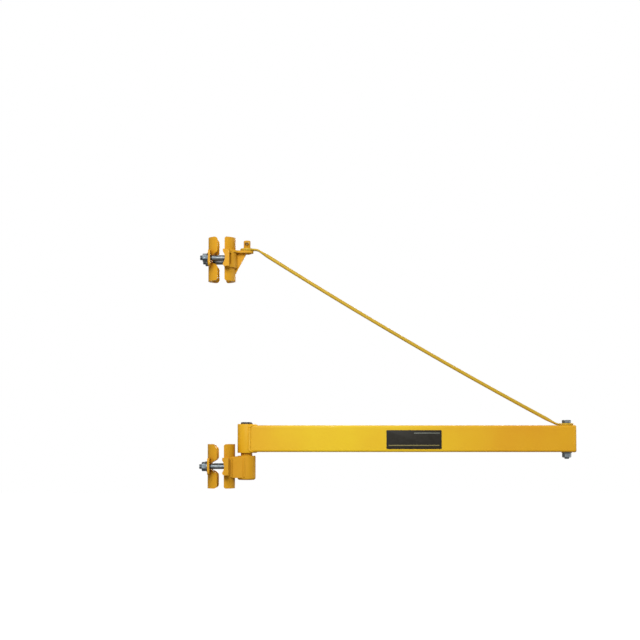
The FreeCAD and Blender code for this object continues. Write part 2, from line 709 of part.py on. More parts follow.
def tie_rod():
    # A slightly bowed round bar between two forged ends.
    body = new_body("tie_rod")
    upper_x, lower_x, reach = D["rod_upper_bend"], D["rod_lower_bend"], D["round_start"]
    upper_bottom, lower_bottom = D["flange_top"] + D["eye_lift"], boom_top
    high, low = upper_bottom + D["eye_wall"] / 2, lower_bottom + D["eye_wall"] / 2
    run, drop, bow = lower_x - upper_x, high - low, as_degrees(D["rod_bow"])
    upper_angle, lower_angle = slant(drop, run) + bow, slant(drop, run) - bow
    start = (upper_x + reach * cosine(upper_angle), high - reach * sine(upper_angle))
    end = (lower_x - reach * cosine(lower_angle), low + reach * sine(lower_angle))
    chord = root(run * run + drop * drop) - reach * cosine(bow) * 2
    section = slanted_sketch(body, start[0], start[1], upper_angle)
    draw_circle(section, ZERO, ZERO, D["rod_radius"])
    path = new_sketch(body, "XZ_Plane")
    draw_chain(path, [start, (*end, chord / (sine(bow) * 2), 1)], closed=False)
    sweep(body, section, path)
    pin_hole, bolt_hole = (D[radius] + D["eye_gap"] for radius in ("tie_pin_radius", "stud_radius"))
    forged_end(body, D["pivot_x"], upper_bottom, pin_hole, upper_x, 1, upper_angle)
    forged_end(body, D["end_bolt_x"], lower_bottom, bolt_hole, lower_x, -1, lower_angle)


def end_bolt():
    head_bottom = boom_top + D["eye_wall"]
    body = new_body("end_bolt", x=D["end_bolt_x"], z=head_bottom)
    plan = new_sketch(body, "XY_Plane")
    hexagon(plan, D["nut_flats"])
    pad(body, plan, D["bolt_head"])
    trim_corners(body, D["bolt_head"], D["nut_chamfer"], at_top=True)
    radius, chamfer = D["stud_radius"], D["stud_chamfer"]
    tip = D["boom_bottom"] - D["end_bolt_reach"] - head_bottom
    shank = new_sketch(body, "XZ_Plane")
    draw_chain(shank, [
        (ZERO, tip), (radius - chamfer, tip), (radius, tip + chamfer), (radius, ZERO), (ZERO, ZERO),
    ])
    revolve(body, shank, "V_Axis")


def end_fastening():
    downwards = FreeCAD.Rotation(FreeCAD.Vector(1, 0, 0), 180)
    x, under = D["end_bolt_x"], D["boom_bottom"]
    end_bolt()
    washer("end_washer", x, ZERO, under, downwards)
    nut("end_nut", x, ZERO, under - D["washer_wall"], downwards)


clamp("lower", ZERO)
pivot_socket()
socket_cheek("socket_cheek_near", -1)
socket_cheek("socket_cheek_far", 1)
clamp("upper", D["upper_clamp_height"])
tie_flange()
tie_gusset()
tie_pin()
split_pin()
pivot_sleeve()
pivot_pin()
pin_cap()
boom_tube()
boom_end_plate()
tie_rod()
end_fastening()
doc.recompute()

for thing in doc.Objects:
    if "Invalid" in thing.State or "Error" in thing.State:
        raise ValueError(f"{thing.Label} failed: {thing.State}")
os.makedirs("parts", exist_ok=True)
for part in parts:
    shape = part.Shape
    if shape.isNull() or not shape.isValid() or len(shape.Solids) != 1:
        raise ValueError(f"{part.Label} is not one valid solid")
for part in parts:
    part.Shape.exportStep(os.path.join("parts", f"{part.Label}.step"))
print(f"{len(parts)} pieces written")
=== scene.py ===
import json
import math

import bmesh
import bpy
from mathutils import Matrix, Vector


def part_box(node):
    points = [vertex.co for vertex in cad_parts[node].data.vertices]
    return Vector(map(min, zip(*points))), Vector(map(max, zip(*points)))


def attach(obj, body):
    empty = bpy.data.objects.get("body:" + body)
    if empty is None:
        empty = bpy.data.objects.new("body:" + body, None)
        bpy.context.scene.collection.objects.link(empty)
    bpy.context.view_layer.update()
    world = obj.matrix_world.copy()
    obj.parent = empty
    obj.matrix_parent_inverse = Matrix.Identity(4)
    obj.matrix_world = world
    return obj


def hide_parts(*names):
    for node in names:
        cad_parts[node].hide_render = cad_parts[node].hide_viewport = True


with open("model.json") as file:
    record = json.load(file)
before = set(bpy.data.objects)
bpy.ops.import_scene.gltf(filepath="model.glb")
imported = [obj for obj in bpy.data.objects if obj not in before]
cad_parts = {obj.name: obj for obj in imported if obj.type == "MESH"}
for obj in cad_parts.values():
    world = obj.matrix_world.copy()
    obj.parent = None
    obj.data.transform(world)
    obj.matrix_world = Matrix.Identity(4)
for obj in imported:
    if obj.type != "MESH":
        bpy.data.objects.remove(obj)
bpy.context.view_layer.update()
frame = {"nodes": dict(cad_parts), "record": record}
nodes = frame["nodes"]
mm = 0.001
print("frame:", len(nodes), "nodes")


# node helpers for the finishes and the studio

def freshTree(owner):
    owner.use_nodes = True
    owner.node_tree.nodes.clear()
    return owner.node_tree


def feed(tree, socket, value):
    if isinstance(value, bpy.types.NodeSocket):
        tree.links.new(value, socket)
    else:
        socket.default_value = value


def addNode(tree, kind, settings=None, **sockets):
    node = tree.nodes.new(kind)
    for key, value in (settings or {}).items():
        setattr(node, key, value)
    for key, value in sockets.items():
        feed(tree, node.inputs[key.replace("_", " ")], value)
    return node


def addMath(tree, operation, first, second):
    node = addNode(tree, "ShaderNodeMath", {"operation": operation})
    feed(tree, node.inputs[0], first)
    feed(tree, node.inputs[1], second)
    return node.outputs[0]


def addMix(tree, share, first, second, blend="MIX"):
    node = addNode(tree, "ShaderNodeMix", {"data_type": "RGBA", "blend_type": blend})
    for number, value in ((0, share), (6, first), (7, second)):      # its factor and its two colours
        feed(tree, node.inputs[number], value)
    return node.outputs[2]


def addAxis(tree, vector, axis):
    return addNode(tree, "ShaderNodeSeparateXYZ", None, Vector=vector).outputs[axis]


def addRange(tree, value, low, high, toLow=0.0, toHigh=1.0, ease="LINEAR"):
    node = addNode(tree, "ShaderNodeMapRange", {"interpolation_type": ease}, Value=value,
                   From_Min=low, From_Max=high, To_Min=toLow, To_Max=toHigh)
    return node.outputs["Result"]


def addNoise(tree, place, scale, detail, grain=0.5):
    noise = addNode(tree, "ShaderNodeTexNoise", None, Vector=place, Scale=scale, Detail=detail,
                    Roughness=grain)
    return noise.outputs["Fac"]


def addCloud(tree, place, scale, detail, low, high, grain=0.5, toLow=0.0, toHigh=1.0):
    return addRange(tree, addNoise(tree, place, scale, detail, grain), low, high, toLow, toHigh)


def addSkin(tree, place, scale, strength, depth, detail=2.0, grain=0.5):
    height = addNoise(tree, place, scale, detail, grain)
    bump = addNode(tree, "ShaderNodeBump", None, Strength=strength, Distance=depth, Height=height)
    return bump.outputs["Normal"]


def addCorners(tree, reach, dark, bare, samples=8):
    # 1 in tight corners and 0 on open faces
    shelter = addNode(tree, "ShaderNodeAmbientOcclusion", {"samples": samples}, Distance=reach)
    return addRange(tree, shelter.outputs["AO"], dark, bare, 1.0, 0.0)


# shader groups shared by the finishes

def newGroup(name, inputs):
    group = bpy.data.node_groups.new(name, "ShaderNodeTree")
    group.interface.new_socket("Place", in_out="INPUT", socket_type="NodeSocketVector")
    for key, value in inputs.items():
        kind = "NodeSocketFloat" if isinstance(value, float) else "NodeSocketColor"
        group.interface.new_socket(key, in_out="INPUT", socket_type=kind).default_value = value
    for key, kind in (("Color", "Color"), ("Roughness", "Float"), ("Normal", "Vector")):
        group.interface.new_socket(key, in_out="OUTPUT", socket_type=f"NodeSocket{kind}")
    return group, group.nodes.new("NodeGroupInput").outputs, group.nodes.new("NodeGroupOutput").inputs


paintLook = {
    "cloud": {"scale": 9.0, "detail": 3.0, "low": 0.35, "high": 0.75},           # slow drift of thickness
    "fleck": {"scale": 160.0, "detail": 4.0, "low": 0.52, "high": 0.8},          # fine uneven pigment
    "patch": {"scale": 190.0, "detail": 4.0, "grain": 0.6, "low": 0.4, "high": 0.62,
              "toLow": 0.1, "toHigh": 0.75},
    "smear": {"scale": 38.0, "detail": 5.0, "grain": 0.65, "low": 0.3, "high": 0.8,
              "toLow": -0.06, "toHigh": 0.12},
    "peel": {"scale": 420.0, "grain": 0.4, "strength": 0.06, "depth": 0.0005},   # orange peel of a spray
    "ends": {"Foot": (0.23, 0.04), "Tip": (0.3, 0.75)},                          # along X, in metres; painted shade towards the boom's ends
    # painted shade: the corner mask darkens the colour with the tint below and dulls the gloss
    "corners": {"reach": 0.014, "dark": 0.35, "bare": 0.95},
    "dust": (0.62, 0.5, 0.38, 1), "cloudShare": 0.28, "fleckShare": 0.1, "dustDull": 0.2,
}


def makePaintCoat(look):
    group, given, put = newGroup("paintCoat", {
        "Paint": (0.7, 0.4, 0.03, 1), "Deep": (0.5, 0.25, 0.02, 1), "Worn": (0.8, 0.55, 0.1, 1),
        "Gloss": 0.4, "Foot": 0.0, "Tip": 0.0, "Grime": 0.5})
    place = given["Place"]
    along = addAxis(group, place, "X")
    share = addMath(group, "MULTIPLY", addCloud(group, place, **look["cloud"]), look["cloudShare"])
    for end, (fromX, toX) in look["ends"].items():       # painted shade: the tone deepens towards both ends
        thick = addRange(group, along, fromX, toX, ease="SMOOTHSTEP")
        share = addMath(group, "ADD", share, addMath(group, "MULTIPLY", thick, given[end]))
    tone = addMix(group, share, given["Paint"], given["Deep"])
    fleck = addMath(group, "MULTIPLY", addCloud(group, place, **look["fleck"]), look["fleckShare"])
    tone = addMix(group, fleck, tone, given["Deep"])
    rubbed = addNode(group, "ShaderNodeAttribute", {"attribute_name": "rub"}).outputs["Fac"]
    thin = addMath(group, "MULTIPLY", rubbed, addCloud(group, place, **look["patch"]))
    tone = addMix(group, thin, tone, given["Worn"])      # thin on the broken edges
    shadeAndDust = addCorners(group, **look["corners"])         # painted shade: the colour darkens in tight corners, and the same mask dulls the gloss there
    shadedTone = addMix(group, 1.0, tone, look["dust"], "MULTIPLY")
    tone = addMix(group, addMath(group, "MULTIPLY", shadeAndDust, given["Grime"]), tone, shadedTone)
    rough = addMath(group, "ADD", given["Gloss"], addCloud(group, place, **look["smear"]))
    rough = addMath(group, "ADD", rough, addMath(group, "MULTIPLY", shadeAndDust, look["dustDull"]))
    group.links.new(tone, put["Color"])
    group.links.new(rough, put["Roughness"])
    group.links.new(addSkin(group, place, **look["peel"]), put["Normal"])
    return group


zincLook = {
    "blush": {"scale": 70.0, "detail": 3.0, "low": 0.38, "high": 0.68},          # blue passivated patches
    "scuff": {"scale": 240.0, "detail": 4.0, "grain": 0.7, "low": 0.3, "high": 0.75,
              "toLow": -0.08, "toHigh": 0.18},
    "skin": {"scale": 900.0, "strength": 0.1, "depth": 0.0003},
    # corners, the tint and its share paint shade into tight corners
    "corners": {"reach": 0.005, "dark": 0.3, "bare": 0.9},
    "dust": (0.35, 0.34, 0.33, 1), "blushShare": 0.75, "dustShare": 0.7,
}


def makeZincPlate(look):
    group, given, put = newGroup("zincPlate", {
        "Metal": (0.45, 0.48, 0.52, 1), "Tint": (0.28, 0.36, 0.46, 1), "Gloss": 0.3})
    place = given["Place"]
    blush = addMath(group, "MULTIPLY", addCloud(group, place, **look["blush"]), look["blushShare"])
    tone = addMix(group, blush, given["Metal"], given["Tint"])
    # painted shade: the colour darkens in tight corners
    shadeAndDust = addMath(group, "MULTIPLY", addCorners(group, **look["corners"]), look["dustShare"])
    tone = addMix(group, shadeAndDust, tone, addMix(group, 1.0, tone, look["dust"], "MULTIPLY"))
    rough = addMath(group, "ADD", given["Gloss"], addCloud(group, place, **look["scuff"]))
    group.links.new(tone, put["Color"])
    group.links.new(rough, put["Roughness"])
    group.links.new(addSkin(group, place, **look["skin"]), put["Normal"])
    return group


plasticLook = {
    "haze": {"scale": 120.0, "detail": 4.0, "grain": 0.6, "low": 0.35, "high": 0.8},
    "skin": {"scale": 1500.0, "strength": 0.15, "depth": 0.0003},
    "lift": (0.012, 0.012, 0.012, 1), "hazeDull": 0.15,
}


def makeMouldedSkin(look):
    group, given, put = newGroup("mouldedSkin", {"Plastic": (0.02, 0.02, 0.02, 1), "Gloss": 0.5})
    place = given["Place"]
    haze = addCloud(group, place, **look["haze"])
    lifted = addMix(group, 1.0, given["Plastic"], look["lift"], "ADD")
    rough = addMath(group, "ADD", given["Gloss"], addMath(group, "MULTIPLY", haze, look["hazeDull"]))
    group.links.new(addMix(group, haze, given["Plastic"], lifted), put["Color"])
    group.links.new(rough, put["Roughness"])
    group.links.new(addSkin(group, place, **look["skin"]), put["Normal"])
    return group


def finishMaterial(name, group, values, **shader):
    material = bpy.data.materials.new(name)
    tree = freshTree(material)
    place = tree.nodes.new("ShaderNodeTexCoord").outputs["Object"]
    finish = addNode(tree, "ShaderNodeGroup", {"node_tree": group}, Place=place, **values).outputs
    surface = addNode(tree, "ShaderNodeBsdfPrincipled", None, Base_Color=finish["Color"],
                      Roughness=finish["Roughness"], Normal=finish["Normal"], **shader)
    out = tree.nodes.new("ShaderNodeOutputMaterial")
    tree.links.new(surface.outputs["BSDF"], out.inputs["Surface"])
    return material


paintCoat = makePaintCoat(paintLook)
zincPlate = makeZincPlate(zincLook)
mouldedSkin = makeMouldedSkin(plasticLook)
finishes = {
    # painted shade on the boom: Foot and Tip deepen its tone towards both ends, and the corner value
    # darkens its corners
    "boom_yellow": finishMaterial("boomPaint", paintCoat, {
        "Paint": (0.775, 0.53, 0.0105, 1), "Deep": (0.69, 0.33, 0.007, 1), "Gloss": 0.44,
        "Foot": 0.65, "Tip": 0.85, "Grime": 0.25}, Specular_IOR_Level=0.28),
    "bracket_yellow": finishMaterial("bracketPaint", paintCoat, {
        "Paint": (0.66, 0.325, 0.012, 1), "Deep": (0.53, 0.24, 0.009, 1), "Gloss": 0.56},
        Specular_IOR_Level=0.2),
    "rod_yellow": finishMaterial("rodPaint", paintCoat, {
        "Paint": (0.57, 0.36, 0.02, 1), "Deep": (0.45, 0.27, 0.014, 1), "Gloss": 0.46},
        Specular_IOR_Level=0.28),
    "zinc_steel": finishMaterial("zincSteel", zincPlate, {
        "Metal": (0.17, 0.187, 0.194, 1), "Tint": (0.08, 0.106, 0.127, 1), "Gloss": 0.45}, Metallic=1.0),
    "pin_wire": finishMaterial("pinWire", zincPlate, {
        "Metal": (0.3, 0.19, 0.06, 1), "Tint": (0.14, 0.08, 0.025, 1), "Gloss": 0.34}, Metallic=1.0),
    "black_cap": finishMaterial("capPlastic", mouldedSkin, {
        "Plastic": (0.014, 0.014, 0.013, 1), "Gloss": 0.48}),
    "label": finishMaterial("labelInk", mouldedSkin, {
        "Plastic": (0.012, 0.01, 0.006, 1), "Gloss": 0.5}, Specular_IOR_Level=0.2),
    "lowBar": finishMaterial("labelLowBar", mouldedSkin, {
        "Plastic": (0.2, 0.165, 0.045, 1), "Gloss": 0.5}),
    "highBar": finishMaterial("labelHighBar", mouldedSkin, {
        "Plastic": (0.15, 0.16, 0.13, 1), "Gloss": 0.5}),
}
print("finishes:", len(finishes))

slotOf = {part["node"]: part["material_slot"] for part in frame["record"]["subparts"]}
bodyOf = {node: body for body, group in frame["record"]["behaviour"]["bodies"].items() for node in group}
for nodeName, node in nodes.items():
    node.data.materials.clear()
    node.data.materials.append(finishes[slotOf[nodeName]])


# mesh helpers, along the frame's axes

merging = {"near": 0.004, "node": 0.01, "flat": 1, "smooth": 34}     # mm, mm, degrees, degrees


def spanOf(nodeName):                                    # a node's lowest and highest corner in mm
    return [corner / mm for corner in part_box(nodeName)]


def middleOf(nodeName):
    low, high = spanOf(nodeName)
    return (low + high) / 2


def mergeNear(mesh, gap):
    bmesh.ops.remove_doubles(mesh, verts=mesh.verts, dist=gap * mm)


def cleanMesh(mesh):
    mergeNear(mesh, merging["near"])
    bmesh.ops.recalc_face_normals(mesh, faces=mesh.faces)
    return mesh


def vertsOf(made):
    return [part for part in made["geom"] if isinstance(part, bmesh.types.BMVert)]


def rounded(mesh, geom, offset, segments, affect="EDGES"):
    made = bmesh.ops.bevel(mesh, geom=geom, offset=offset * mm, offset_type="OFFSET", segments=segments,
                           profile=0.5, affect=affect, clamp_overlap=True, material=-1)
    return made["faces"]


def meshData(mesh, name):
    mesh.verts.index_update()
    ordered = sorted(mesh.faces, key=lambda face: [vert.index for vert in face.verts])
    for number, face in enumerate(ordered):              # operators leave the faces in no fixed order
        face.index = number
    mesh.faces.sort()
    data = bpy.data.meshes.new(name)
    mesh.to_mesh(data)
    mesh.free()
    return data


def newObject(name, data):
    item = bpy.data.objects.new(name, data)
    bpy.context.scene.collection.objects.link(item)
    return item


def keepPiece(mesh, name, body, slotName, replaced=(), finish=None, even=False):
    data = meshData(mesh, name)
    data.shade_smooth()
    data.set_sharp_from_angle(angle=math.radians(merging["smooth"]))
    data.materials.append(finish or finishes[slotName])
    piece = newObject(name, data)
    if even:                                             # keeps flat faces flat beside rounded edges
        piece.modifiers.new("evenShade", "WEIGHTED_NORMAL").keep_sharp = True
    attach(piece, body)
    if replaced:
        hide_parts(*replaced)


def keepNode(mesh, nodeName, even=False, finish=None):
    first, *rest = nodeName.split("_")
    name = first + "".join(word.capitalize() for word in rest)
    keepPiece(mesh, name, bodyOf[nodeName], slotOf[nodeName], [nodeName], finish, even)


def nodeShape(nodeName, edge, sharp=30):
    # a merged copy of a frame node with its edges broken
    mesh = bmesh.new()
    mesh.from_mesh(nodes[nodeName].data)
    rubOf = mesh.faces.layers.float.new("rub")           # the paint wears on the broken edges
    mergeNear(mesh, merging["node"])
    flat = math.radians(merging["flat"])
    bmesh.ops.dissolve_limit(mesh, angle_limit=flat, verts=mesh.verts, edges=mesh.edges)
    corners = [line for line in mesh.edges if line.calc_face_angle(0) > math.radians(sharp)]
    for face in rounded(mesh, corners, edge, segments=3):
        face[rubOf] = 1.0
    return mesh


def addOutline(mesh, outline, closed=False):
    # (radius, height) points in mm, joined by lines
    verts = [mesh.verts.new((radius * mm, 0, height * mm)) for radius, height in outline]
    for pair in zip(verts, verts[1:] + verts[:1] if closed else verts[1:]):
        mesh.edges.new(pair)
    return verts


def latheRound(outline, closed=False, rounding=0.0, steps=72):
    mesh = bmesh.new()                                   # spins an outline about Z
    verts = addOutline(mesh, outline, closed)
    if rounding:
        corners = [vert for vert in verts if len(vert.link_edges) == 2]
        rounded(mesh, corners, rounding, segments=4, affect="VERTICES")
    bmesh.ops.spin(mesh, geom=mesh.verts[:] + mesh.edges[:], cent=(0, 0, 0), axis=(0, 0, 1),
                   angle=math.tau, steps=steps, use_merge=True)
    return cleanMesh(mesh)


def tubeOutline(inner, outer, foot, top):
    return [(inner, foot), (outer, foot), (outer, top), (inner, top)]


def sweepRings(mesh, stations, placeOf, sides, capped=True):
    turnOf = mesh.verts.layers.float.new("turn")
    verts = bmesh.ops.create_circle(mesh, cap_ends=False, segments=sides, radius=1.0)["verts"]
    for vert in verts:
        vert[turnOf] = math.atan2(vert.co.y, vert.co.x)
    firstRing = ring = list(dict.fromkeys(line for vert in verts for line in vert.link_edges))
    for number, station in enumerate(stations):
        if number:                                       # the ring is extruded from station to station
            made = bmesh.ops.extrude_edge_only(mesh, edges=ring)
            lines = [part for part in made["geom"] if isinstance(part, bmesh.types.BMEdge)]
            ring = [line for line in lines if line.is_boundary]
            verts = vertsOf(made)
        for vert in verts:
            vert.co = placeOf(station, vert[turnOf])
    if capped:
        bmesh.ops.edgeloop_fill(mesh, edges=firstRing)
        bmesh.ops.edgeloop_fill(mesh, edges=ring)
    mesh.verts.layers.float.remove(turnOf)
    return mesh


def joinSolids(mesh, other):
    # one closed surface from two that overlap
    solids = [newObject("part", meshData(part, "part")) for part in (mesh, other)]
    union = solids[0].modifiers.new("union", "BOOLEAN")
    union.operation, union.solver, union.object = "UNION", "EXACT", solids[1]
    joined = bmesh.new()
    joined.from_object(solids[0], bpy.context.evaluated_depsgraph_get())
    for solid in solids:
        bpy.data.meshes.remove(solid.data)
    return cleanMesh(joined)


def layAlong(mesh, place, turn=0.0, axis="Y"):
    turned = Matrix.Rotation(math.radians(turn), 3, axis)
    bmesh.ops.rotate(mesh, verts=mesh.verts, cent=(0, 0, 0), matrix=turned)
    bmesh.ops.translate(mesh, verts=mesh.verts, vec=place)
    return mesh


# plates and castings: frame shapes with broken edges

plateEdges = {"saddle": 0.9, "lug": 0.8, "cheek": 0.6, "flange": 0.7, "gusset": 0.6, "tie_pin": 0.3,
              "plate": 2.0}
for nodeName in nodes:
    for word, edge in plateEdges.items():
        if word in nodeName:
            keepNode(nodeShape(nodeName, edge), nodeName, even=True)
print("plates:", len(plateEdges), "kinds")


# boom tube, and the round parts of its pivot

boom = {"edge": 0.3, "sharp": 50, "corner": 5.0}
boomLow, boomHigh = spanOf("boom_tube")
keepNode(nodeShape("boom_tube", boom["edge"], boom["sharp"]), "boom_tube", even=True)

pivotX = middleOf("pivot_sleeve").x
pivotSteps = 96


def roundSize(nodeName):                                 # outer radius and length
    low, high = spanOf(nodeName)
    return (high.x - low.x) / 2, high.z - low.z


def keepRound(nodeName, outline, closed=False, rounding=0.0):
    foot = Vector((pivotX, 0, spanOf(nodeName)[0].z)) * mm
    keepNode(layAlong(latheRound(outline, closed, rounding, pivotSteps), foot), nodeName)


pivotTubes = {"pivot_sleeve": {"wall": 7.75, "edge": 0.7}, "pivot_pin": {"wall": 5.0, "edge": 0.6}}
for nodeName, tube in pivotTubes.items():
    outer, length = roundSize(nodeName)
    keepRound(nodeName, tubeOutline(outer - tube["wall"], outer, 0, length), True, tube["edge"])

socket = {"bore": 13.75, "floor": 5.0, "bend": 5.0, "bendSteps": 10, "lip": 0.7}
outer, length = roundSize("pivot_socket")
cup = [(0, 0)]
for count in range(socket["bendSteps"] + 1):             # round bottom edge
    turn = math.radians(90 / socket["bendSteps"] * count)
    cup.append((outer - socket["bend"] * (1 - math.sin(turn)), socket["bend"] * (1 - math.cos(turn))))
cup += [(outer, length - socket["lip"]), (outer - socket["lip"], length),
        (socket["bore"] + socket["lip"], length), (socket["bore"], length - socket["lip"]),
        (socket["bore"], socket["floor"]), (0, socket["floor"])]
keepRound("pivot_socket", cup)

cap = {"rim": 13.6, "rimTop": 2.4, "shoulder": 12.8, "shoulderTop": 3.8, "crown": 11.0, "crownTop": 4.4,
       "dome": 7.0, "domeTop": 4.6, "dish": 5.5, "dishFloor": 3.9, "plug": 8.3, "depth": 12.0, "lead": 1.0,
       "edge": 0.5}
shape = [(0, cap["depth"] + cap["dishFloor"]), (cap["dish"], cap["depth"] + cap["dishFloor"])]
shape += [(cap[part], cap["depth"] + cap[f"{part}Top"]) for part in ("dome", "crown", "shoulder", "rim")]
shape += [(cap["rim"], cap["depth"]), (cap["plug"], cap["depth"]), (cap["plug"], cap["lead"]),
          (cap["plug"] - cap["lead"], 0), (0, 0)]
keepRound("pin_cap", shape, rounding=cap["edge"])
print("boom and pivot ready")


# tie rod: a bowed round bar with a forged flat eye at each end

rod = {"upperBend": 83.6, "lowerBend": 785.8, "bow": 2.0, "round": 4.25, "roundStart": 30.0, "bend": 20.0,
       "flatHalf": 7.5, "flatThick": 4.9, "square": 0.55, "seat": 11.5, "bowRings": 48, "sides": 32}
rodRings = {"flat": (0, 0.35, 0.7, 1), "bend": (0.2, 0.4, 0.6, 0.8, 1),
            "ease": (0.12, 0.25, 0.4, 0.55, 0.7, 0.85, 1)}
eye = {"half": 16.0, "thick": 5.0, "edge": 1.3, "lift": 0.5, "upperBore": 8.5, "lowerBore": 6.5}


def rodEnd(eyeX, bendX, height, towards, angle):
    # stations (x, z, slope, half width, half thickness, squareness) from an eye to the round bar
    tangent, half = rod["bend"] * math.tan(angle / 2), rod["flatThick"] / 2
    levelX, seatX = bendX - tangent * towards, eyeX + rod["seat"] * towards
    stations = []
    for share in rodRings["flat"]:
        x = seatX + (levelX - seatX) * share
        wide = rod["flatHalf"] + (eye["half"] - rod["flatHalf"]) * (levelX - x) / (levelX - eyeX)
        stations.append((x, height, 0.0, wide, half, rod["square"]))
    for share in rodRings["bend"]:
        turn = angle * share
        x = levelX + rod["bend"] * math.sin(turn) * towards
        z = height - rod["bend"] * (1 - math.cos(turn)) * towards
        stations.append((x, z, turn, rod["flatHalf"], half, rod["square"]))
    for share in rodRings["ease"]:
        reach = (tangent + (rod["roundStart"] - tangent) * share) * towards
        x, z = bendX + reach * math.cos(angle), height - reach * math.sin(angle)
        ease = share * share * (3 - 2 * share)
        wide, thick = (flat + (rod["round"] - flat) * ease for flat in (rod["flatHalf"], half))
        stations.append((x, z, angle, wide, thick, rod["square"] + (1 - rod["square"]) * ease))
    return stations


def rodPlace(station, turn):
    x, z, slope, wide, thick, square = station
    across, up = math.cos(turn), math.sin(turn)
    across = math.copysign(abs(across) ** square, across) * wide
    up = math.copysign(abs(up) ** square, up) * thick
    return Vector((x + up * math.sin(slope), across, z + up * math.cos(slope))) * mm


upperEye, lowerEye = middleOf("tie_pin").x, middleOf("end_bolt").x
upperZ = spanOf("tie_flange")[1].z + eye["lift"] + eye["thick"] / 2
lowerZ = boomHigh.z + eye["thick"] / 2
bow = math.radians(rod["bow"])
chordAngle = math.atan2(upperZ - lowerZ, rod["lowerBend"] - rod["upperBend"])
stations = rodEnd(upperEye, rod["upperBend"], upperZ, 1, chordAngle + bow)
tail = rodEnd(lowerEye, rod["lowerBend"], lowerZ, -1, chordAngle - bow)
start, end = Vector(stations[-1][:2]), Vector(tail[-1][:2])
arcRadius = (end - start).length / 2 / math.sin(bow)
for count in range(1, rod["bowRings"]):
    slope = chordAngle + bow - 2 * bow * count / rod["bowRings"]     # the bar sags evenly between its ends
    x = start.x + arcRadius * (math.sin(chordAngle + bow) - math.sin(slope))
    z = start.y + arcRadius * (math.cos(chordAngle + bow) - math.cos(slope))
    stations.append((x, z, slope, rod["round"], rod["round"], 1.0))
rodMesh = cleanMesh(sweepRings(bmesh.new(), stations + tail[::-1], rodPlace, rod["sides"]))
for x, z, bore in ((upperEye, upperZ, eye["upperBore"]), (lowerEye, lowerZ, eye["lowerBore"])):
    outline = tubeOutline(bore, eye["half"], -eye["thick"] / 2, eye["thick"] / 2)
    ring = layAlong(latheRound(outline, True, eye["edge"]), Vector((x, 0, z)) * mm)
    rodMesh = joinSolids(rodMesh, ring)
keepNode(rodMesh, "tie_rod", finish=finishes["rod_yellow"])
print("tie rod:", len(stations) + len(tail), "rings")


# fasteners: threaded studs and bolt, washers, hexagon nuts, split pin

hexagon = {"flats": 19.0, "corner": 10.75, "face": 9.1, "lead": math.tan(math.radians(28)), "bore": 6.05,
           "sink": 6.9, "sinkDeep": 0.8, "sides": 72}
thread = {"outer": 6.0, "root": 4.95, "pitch": 1.75, "valley": 0.22, "rise": 0.54, "crest": 0.68,
          "lead": 1.2, "relief": 4.8, "runOut": 0.5, "steps": 36}
washer = {"inner": 6.5, "outer": 12.0, "edge": 0.45}
nutTurns = {"lower_near": 6, "lower_far": 41, "upper_near": 16, "upper_far": 23, "end": 4}


def hexPlace(station, turn):
    # a station is (radius or None for the hexagon, height, how far the corners are cut back)
    reach, height, cut = station
    if reach is None:
        side = turn % math.radians(60) - math.radians(30)
        reach = min(hexagon["flats"] / 2 / math.cos(side), hexagon["corner"])
    height += cut * (reach - hexagon["face"]) * hexagon["lead"]
    return Vector((reach * math.cos(turn), reach * math.sin(turn), height)) * mm


def nutMesh(height, turn):
    bore, sink, face, deep = (hexagon[key] for key in ("bore", "sink", "face", "sinkDeep"))
    stations = [(sink, 0, 0), (face, 0, 0), (None, 0, 1), (None, height, -1), (face, height, 0),
                (sink, height, 0), (bore, height - deep, 0), (bore, deep, 0), (sink, 0, 0)]
    mesh = cleanMesh(sweepRings(bmesh.new(), stations, hexPlace, hexagon["sides"], capped=False))
    return layAlong(mesh, (0, 0, 0), turn, "Z")


def washerMesh(thick):
    return latheRound(tubeOutline(washer["inner"], washer["outer"], 0, thick), True, washer["edge"])


def threadMesh(length):
    # a screw thread from height 0, open at its foot, up to a chamfered tip
    mesh, pitch, root, outer = bmesh.new(), thread["pitch"], thread["root"], thread["outer"]
    ridge = [(root, 0.0), (root, thread["valley"]), (outer, thread["rise"]), (outer, thread["crest"])]
    turns = range(-1, math.ceil(length / pitch) + 1)
    addOutline(mesh, [(radius, (count + share) * pitch) for count in turns for radius, share in ridge])
    bmesh.ops.spin(mesh, geom=mesh.verts[:] + mesh.edges[:], cent=(0, 0, 0), axis=(0, 0, 1), angle=math.tau,
                   dvec=(0, 0, pitch * mm / thread["steps"]), steps=thread["steps"], use_merge=False)
    mergeNear(mesh, merging["near"])
    for height, side in ((0, -1), (length * mm, 1)):
        bmesh.ops.bisect_plane(mesh, geom=mesh.verts[:] + mesh.edges[:] + mesh.faces[:],
                               plane_co=(0, 0, height), plane_no=(0, 0, side), clear_outer=True)
    tip = [line for line in mesh.edges if line.is_boundary and line.verts[0].co.z > length * mm / 2]
    bmesh.ops.holes_fill(mesh, edges=tip, sides=0)
    for vert in mesh.verts:                              # the tip is turned down to a short cone
        room = (outer - thread["lead"]) * mm + (length * mm - vert.co.z)
        reach = math.hypot(vert.co.x, vert.co.y)
        if reach > room:
            vert.co.x *= room / reach
            vert.co.y *= room / reach
    return mesh


def threadedBar(length, stations):
    # a thread above height 0, and a shank below it through the stations
    mesh = threadMesh(length)
    relief = [(thread["relief"], 0, 0), (thread["outer"], -thread["runOut"], 0)]
    cleanMesh(sweepRings(mesh, relief + stations, hexPlace, hexagon["sides"], capped=False))
    bmesh.ops.bridge_loops(mesh, edges=[line for line in mesh.edges if line.is_boundary])
    return cleanMesh(mesh)


stud = {"plain": 38.0, "edge": 0.25}                     # length of the smooth part, from the lug
studStations = [(thread["outer"], stud["edge"] - stud["plain"], 0),
                (thread["outer"] - stud["edge"], -stud["plain"], 0), (0, -stud["plain"], 0)]


def alongStud(mesh, x, axis):                            # grows towards -X from x
    return layAlong(mesh, Vector((x, axis.y, axis.z)) * mm, -90)


